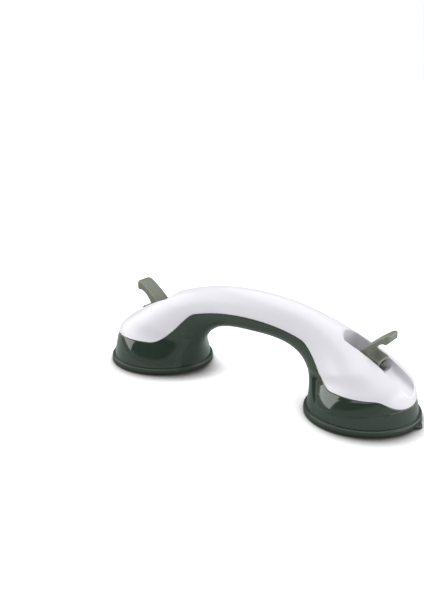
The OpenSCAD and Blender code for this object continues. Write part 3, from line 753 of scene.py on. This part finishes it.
def material(
    name, rough, colour=None, grain=0.03, scale=900.0, bump=0.02, metal=0.0, coat=0.0, spread=0.05
):
    """A procedural finish: broad variation in colour, fine variation in gloss, and a light bump.
    Without a colour, that socket is left for the caller to link."""
    m = bpy.data.materials.new(name)
    m.use_nodes = True
    tree = m.node_tree
    link = tree.links.new
    bsdf = tree.nodes["Principled BSDF"]
    coords = shader(tree, "TexCoord")
    fine = shader(tree, "TexNoise", Scale=scale, Detail=FINE_DETAIL)
    link(coords.outputs["Object"], fine.inputs["Vector"])
    if colour:
        broad = shader(tree, "TexNoise", Scale=BROAD_SCALE, Detail=BROAD_DETAIL)
        tint = ramp(
            tree, (TINT_FROM, [c * (1 - grain) for c in colour]),
            (TINT_TO, [min(1, c * (1 + grain)) for c in colour]),
        )
        link(coords.outputs["Object"], broad.inputs["Vector"])
        link(broad.outputs["Fac"], tint.inputs["Fac"])
        link(tint.outputs["Color"], bsdf.inputs["Base Color"])
    least = max(LEAST_ROUGH, rough - spread)
    gloss = shader(tree, "MapRange", To_Min=least, To_Max=rough + spread)
    link(fine.outputs["Fac"], gloss.inputs["Value"])
    link(gloss.outputs["Result"], bsdf.inputs["Roughness"])
    if bump:
        relief = shader(tree, "Bump", Strength=bump, Distance=BUMP_DEPTH)
        link(fine.outputs["Fac"], relief.inputs["Height"])
        link(relief.outputs["Normal"], bsdf.inputs["Normal"])
    bsdf.inputs["Metallic"].default_value = metal
    bsdf.inputs["Coat Weight"].default_value = coat
    bsdf.inputs["Coat Roughness"].default_value = COAT_ROUGH
    return m


white = material(
    "white_gloss", 0.3, (0.78, 0.77, 0.815), grain=0.012, bump=0.012, coat=0.12, spread=0.03
)
green = material(
    "green_gloss", 0.12, (0.023, 0.039, 0.026), grain=0.06, bump=0.01, coat=1.0, spread=0.03
)
sage = material("sage_satin", 0.26, (0.182, 0.195, 0.156), bump=0.05)
rubber = material("cup_rubber", 0.38, (0.040, 0.056, 0.042), grain=0.07, bump=0.06)
acetal = material("stem_acetal", 0.4, (0.6, 0.61, 0.58), bump=0.04)
disc = material("disc_plastic", 0.45, (0.04, 0.058, 0.046), bump=0.06)
steel = material(
    "ground_steel", 0.3, (0.56, 0.57, 0.58), grain=0.05, scale=2400, bump=0.03, metal=1.0
)
plate = material(
    "stamped_steel", 0.34, (0.5, 0.51, 0.52), grain=0.06, scale=1500, bump=0.04, metal=1.0
)
plated = material(
    "plated_steel", 0.28, (0.46, 0.47, 0.48), grain=0.05, scale=1800, bump=0.03, metal=1.0
)


def dress(obj, mat):
    obj.data.materials.clear()
    obj.data.materials.append(mat)


def place(obj, mat, body, node):
    dress(obj, mat)
    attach(obj, body)
    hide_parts(node)


place(make_upper_shell(), white, "frame", "upper_shell")
place(make_lower_shell(), green, "frame", "lower_shell")
for hand, sign in (("left", -1), ("right", 1)):
    lever, cup = f"lever_{hand}", f"suction_cup_{hand}"
    place(make_lever(f"{lever}_visual", sign), sage, lever, lever)
    place(make_cup_rim(f"{cup}_rim", sign), rubber, "frame", cup)
    web = make_cup_skin(f"{cup}_web", sign)
    dress(web, rubber)
    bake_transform(web)
    for node, mat in (
        (f"lever_pin_{hand}", steel), (f"draw_stem_{hand}", acetal), (f"cam_plate_{hand}", plate),
        (f"base_disc_{hand}", disc), (f"housing_screw_{hand}_inner", plated),
        (f"housing_screw_{hand}_outer", plated), (f"grip_screw_{hand}", plated),
    ):
        for material_slot in bpy.data.objects[node].material_slots:
            material_slot.material = mat

# Floor, light and camera, in metres.
FLOOR_HALF, PAPER, DULL_PAPER = 4, (0.94, 0.94, 0.94), (0.32, 0.35, 0.33, 1)
CONTACT_SHADE, CONTACT_REACH, CONTACT_LEAN = (0.04, 0.04, 0.036), 0.035, (-0.6, 0.8, 0)
CONTACT_FROM, CONTACT_TO, CONTACT_SAMPLES = 0.5, 0.82, 24
LIFT_FROM, LIFT_TO, LIFT_NEAR, LIFT_FAR = 0.6, 1.8, 0.42, 1.0
FILL_LIGHT, FILL_STRENGTH, WHITE = (0.97, 0.97, 1.0, 1), 0.40, (1, 1, 1, 1)
HORIZON, HORIZON_Z, ROOM, ROOM_Z = (0.3, 0.34, 0.32), 0.18, (0.05, 0.055, 0.055), 0.27


def make_paper():
    """Pale paper for the floor."""
    m = material("studio_paper", 0.8, bump=0.0)
    tree = m.node_tree
    link = tree.links.new
    bsdf = tree.nodes["Principled BSDF"]
    seen = shader(tree, "LightPath")

    # A contact shadow: paper is dark close to the object. The normal leans to the back and left, so
    # the shadow lies in front of the object and to its right.
    normal, lean, unit = (shader(tree, k) for k in ("NewGeometry", "VectorMath", "VectorMath"))
    lean.inputs[1].default_value = CONTACT_LEAN
    unit.operation = "NORMALIZE"
    near = shader(tree, "AmbientOcclusion", Distance=CONTACT_REACH)
    near.samples = CONTACT_SAMPLES
    shade = ramp(tree, (CONTACT_FROM, CONTACT_SHADE), (CONTACT_TO, PAPER))
    link(normal.outputs["Normal"], lean.inputs[0])
    link(lean.outputs["Vector"], unit.inputs[0])
    link(unit.outputs["Vector"], near.inputs["Normal"])
    link(near.outputs["AO"], shade.inputs["Fac"])
    link(shade.outputs["Color"], bsdf.inputs["Base Color"])

    # The camera sees the paper lifted to white, fully at a distance from the object.
    spot, reach, share = (shader(tree, k) for k in ("TexCoord", "VectorMath", "Math"))
    reach.operation, share.operation = "LENGTH", "MULTIPLY"
    far = shader(
        tree, "MapRange", From_Min=LIFT_FROM, From_Max=LIFT_TO, To_Min=LIFT_NEAR, To_Max=LIFT_FAR
    )
    lift = shader(tree, "Emission")
    link(spot.outputs["Object"], reach.inputs[0])
    link(reach.outputs["Value"], far.inputs["Value"])
    link(seen.outputs["Is Camera Ray"], share.inputs[0])
    link(far.outputs["Result"], share.inputs[1])
    link(share.outputs["Value"], lift.inputs["Strength"])
    link(shade.outputs["Color"], lift.inputs["Color"])

    # Glossy surfaces reflect a duller paper.
    dull, dim, both = (shader(tree, k) for k in ("BsdfDiffuse", "MixShader", "AddShader"))
    dull.inputs["Color"].default_value = DULL_PAPER
    link(seen.outputs["Is Glossy Ray"], dim.inputs["Fac"])
    link(bsdf.outputs["BSDF"], dim.inputs[1])
    link(dull.outputs["BSDF"], dim.inputs[2])
    link(dim.outputs["Shader"], both.inputs[0])
    link(lift.outputs["Emission"], both.inputs[1])
    link(both.outputs["Shader"], tree.nodes["Material Output"].inputs["Surface"])
    return m


floor_mesh = bpy.data.meshes.new("studio_floor")
floor_signs = ((-1, -1), (1, -1), (1, 1), (-1, 1))
floor_corners = [(x * FLOOR_HALF, y * FLOOR_HALF, 0) for x, y in floor_signs]
floor_mesh.from_pydata(floor_corners, [], [(0, 1, 2, 3)])
floor = bpy.data.objects.new("studio_floor", floor_mesh)
bpy.context.scene.collection.objects.link(floor)
dress(floor, make_paper())


def lamp(name, at, towards, size, watts):
    light = bpy.data.lights.new(name, "AREA")
    light.shape = "RECTANGLE"
    light.size, light.size_y = size
    light.energy = watts
    obj = bpy.data.objects.new(name, light)
    obj.location = at
    obj.rotation_euler = (Vector(towards) - Vector(at)).to_track_quat("-Z", "Y").to_euler()
    obj.visible_camera = False
    bpy.context.scene.collection.objects.link(obj)


lamp("sky_panel", (-0.05, 0.25, 1.6), (0, 0, 0.03), (2.2, 2.2), 28.5)
lamp("left_panel", (-1.2, -0.36, 0.6), (0, 0, 0.05), (1.5, 0.72), 8)
lamp("right_panel", (1.1, 0.6, 0.28), (0, 0, 0.05), (1.7, 0.55), 8.5)


def make_world():
    """An even fill light. Glossy surfaces reflect a dim room with a pale horizon, and the camera
    sees white."""
    world = bpy.data.worlds.new("studio")
    world.use_nodes = True
    tree = world.node_tree
    tree.nodes.clear()
    link = tree.links.new
    out, path = shader(tree, "OutputWorld"), shader(tree, "LightPath")
    to_eye, to_gloss = shader(tree, "MixShader"), shader(tree, "MixShader")
    fill = shader(tree, "Background", Color=FILL_LIGHT, Strength=FILL_STRENGTH)
    room = shader(tree, "Background", Strength=1.0)
    blank = shader(tree, "Background", Color=WHITE, Strength=1.0)
    way, rise = shader(tree, "TexCoord"), shader(tree, "SeparateXYZ")
    glow = ramp(tree, (HORIZON_Z, HORIZON), (ROOM_Z, ROOM))
    link(way.outputs["Generated"], rise.inputs["Vector"])
    link(rise.outputs["Z"], glow.inputs["Fac"])
    link(glow.outputs["Color"], room.inputs["Color"])
    link(path.outputs["Is Glossy Ray"], to_gloss.inputs["Fac"])
    link(fill.outputs["Background"], to_gloss.inputs[1])
    link(room.outputs["Background"], to_gloss.inputs[2])
    link(path.outputs["Is Camera Ray"], to_eye.inputs["Fac"])
    link(to_gloss.outputs["Shader"], to_eye.inputs[1])
    link(blank.outputs["Background"], to_eye.inputs[2])
    link(to_eye.outputs["Shader"], out.inputs["Surface"])
    return world


bpy.context.scene.world = make_world()

# The camera that was fitted to the photo: angles in degrees, lengths in millimetres, and the focal
# length and the middle of the view in pixels.
PHOTO_W, PHOTO_H, SENSOR = 424, 600, 36
AZIMUTH, ELEVATION, ROLL = 35.144, 18.273, 0.234
TARGET, DISTANCE = (-74.247, 46.118, 40), 713.024
FOCAL, CENTRE_X, CENTRE_Y = 812.184, 212.14, 301.807

az, el, roll = (math.radians(v) for v in (AZIMUTH, ELEVATION, ROLL))
ahead = Vector((-math.sin(az) * math.cos(el), math.cos(az) * math.cos(el), -math.sin(el)))
level = Vector((math.cos(az), math.sin(az), 0))
upright = level.cross(ahead)
right = level * math.cos(roll) + upright * math.sin(roll)
above = upright * math.cos(roll) - level * math.sin(roll)
eye = Vector(TARGET) - ahead * DISTANCE
camera = bpy.data.cameras.new("camera")
camera.sensor_width = SENSOR
camera.lens = FOCAL / PHOTO_H * SENSOR
camera.shift_x = (PHOTO_W / 2 - CENTRE_X) / PHOTO_H
camera.shift_y = (CENTRE_Y - PHOTO_H / 2) / PHOTO_H
camera.clip_start = 0.05
viewer = bpy.data.objects.new("camera", camera)
bpy.context.scene.collection.objects.link(viewer)
spin = Matrix((right, above, -ahead)).transposed().to_4x4()
viewer.matrix_world = Matrix.Translation(eye * MM) @ spin
bpy.context.scene.camera = viewer
bpy.context.scene.view_settings.view_transform = "Standard"
